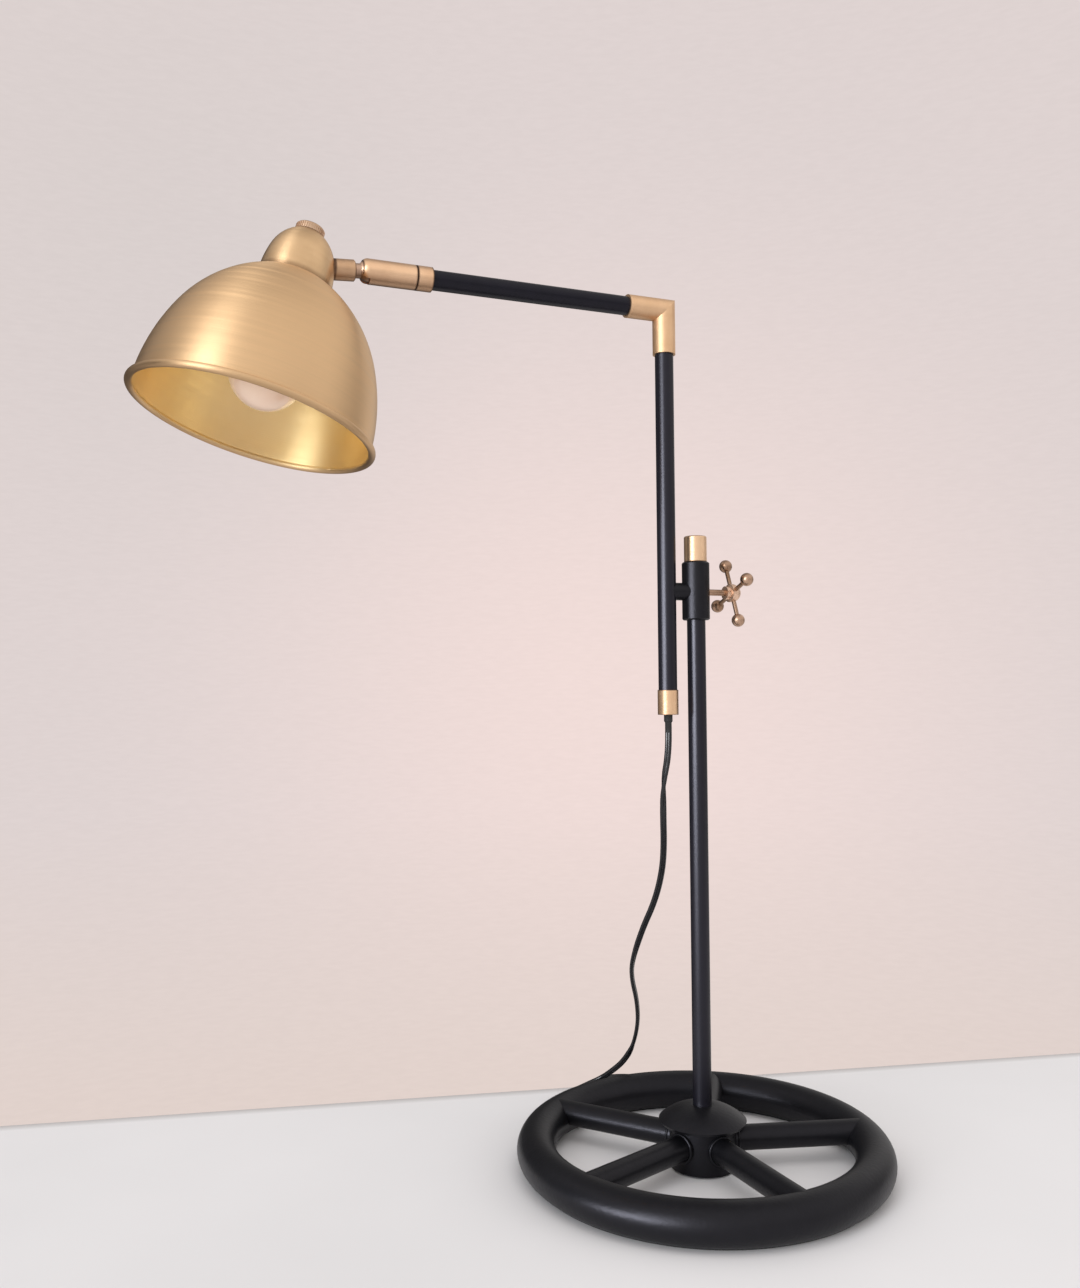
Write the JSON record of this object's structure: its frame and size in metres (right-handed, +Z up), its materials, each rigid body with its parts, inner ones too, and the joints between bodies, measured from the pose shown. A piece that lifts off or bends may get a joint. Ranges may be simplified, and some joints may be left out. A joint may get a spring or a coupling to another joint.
{
  "type": "table lamp",
  "caption": "Pipe-style table lamp: spoked ring base, post with sliding clamp collar, L-shaped arm, swivel and ball joint, bell shade.",
  "frame": {"origin": "centre of the base on the table top, under the post's axis", "axes": "+Z up along the post, the arm points to -X at rest, the clamp wheel to +X, +Y away from the picture's camera"},
  "size_m": [0.4947, 0.2912, 0.604],
  "materials": {
    "black_casting": "satin black finish over a smooth casting",
    "black_tube": "semi-gloss black paint",
    "satin_brass": "brushed and lightly aged brass",
    "zinc_steel": "zinc plated steel",
    "contact_brass": "plain brass contacts",
    "nylon": "dark moulded nylon",
    "seal_rubber": "firm black rubber",
    "black_flex": "black flexible cable sheath",
    "black_plastic": "black moulded plastic",
    "felt": "dark felt",
    "opal_glass": "opal white glass"
  },
  "bodies": {
    "base": {"base_ring": "black_casting", "ring_felt": "felt", "base_spoke_1": "black_casting", "base_spoke_2": "black_casting", "base_spoke_3": "black_casting", "base_spoke_4": "black_casting", "base_spoke_5": "black_casting", "base_hub": "black_casting", "hub_felt": "felt", "hub_cap": "black_casting", "post": "black_tube", "post_insert": "zinc_steel", "post_stud": "zinc_steel", "post_washer": "zinc_steel", "post_nut": "zinc_steel", "post_cap": "satin_brass", "cord_drop": "black_flex", "cord_hank": "black_flex", "hank_tie": "black_plastic", "plug_body": "black_plastic", "plug_pins": "contact_brass"},
    "liner": {"slide_liner": "nylon"},
    "arm": {"collar": "black_tube", "collar_stub": "black_tube", "riser_tube": "black_tube", "riser_ferrule": "satin_brass", "flex_grip": "black_flex", "inner_flex": "black_flex", "elbow": "satin_brass", "arm_tube": "black_tube", "arm_end_collar": "satin_brass", "swivel_spindle": "zinc_steel"},
    "pad": {"clamp_pad": "nylon"},
    "wheel": {"clamp_screw": "zinc_steel", "wheel_hub": "satin_brass", "wheel_rods": "satin_brass", "wheel_balls": "satin_brass"},
    "swivel": {"swivel_housing": "satin_brass", "spring_washer": "zinc_steel", "ball_seat": "nylon", "tension_ring": "seal_rubber"},
    "head": {"ball_shank": "satin_brass", "coupler": "satin_brass", "cup": "satin_brass", "cup_nut": "zinc_steel", "shade": "satin_brass", "shade_ring": "zinc_steel", "lampholder": "black_plastic", "thread_shell": "contact_brass", "centre_contact": "contact_brass", "bulb_globe": "opal_glass", "bulb_cap": "zinc_steel", "holder_nipple": "zinc_steel", "rotary_switch": "black_plastic", "switch_nut": "zinc_steel"},
    "knob": {"switch_knob": "satin_brass", "switch_shaft": "zinc_steel"}
  },
  "joints": [
    {"name": "height_slide", "type": "slide", "parent": "base", "child": "liner", "axis": [0, 0, 1], "range_m": [-0.15, 0], "deforming": ["cord_drop"]},
    {"name": "arm_swing", "type": "hinge", "parent": "liner", "child": "arm", "pos_m": [0, 0, 0.387], "axis": [0, 0, 1], "range_deg": [-135, 135]},
    {"name": "clamp_feed", "type": "slide", "parent": "arm", "child": "pad", "axis": [1, 0, 0], "range_m": [0, 0.00105]},
    {"name": "clamp_turn", "type": "hinge", "parent": "pad", "child": "wheel", "pos_m": [0, 0, 0.3865], "axis": [1, 0, 0], "range_deg": [0, 360]},
    {"name": "head_swivel", "type": "hinge", "parent": "arm", "child": "swivel", "pos_m": [-0.1985, 0, 0.579], "axis": [1, 0, 0], "range_deg": [-90, 90]},
    {"name": "head_tilt", "type": "hinge", "parent": "swivel", "child": "head", "pos_m": [-0.2288, 0, 0.579], "axis": [0, 0.9991, -0.0419], "range_deg": [-50, 15]},
    {"name": "switch_turn", "type": "hinge", "parent": "head", "child": "knob", "pos_m": [-0.26408, 0.00084, 0.59905], "axis": [0.2756, 0.0403, 0.9604], "continuous": true}
  ],
  "couplings": [
    {"joint": "clamp_feed", "follows": "clamp_turn", "m_per_rad": 0.00015915}
  ]
}
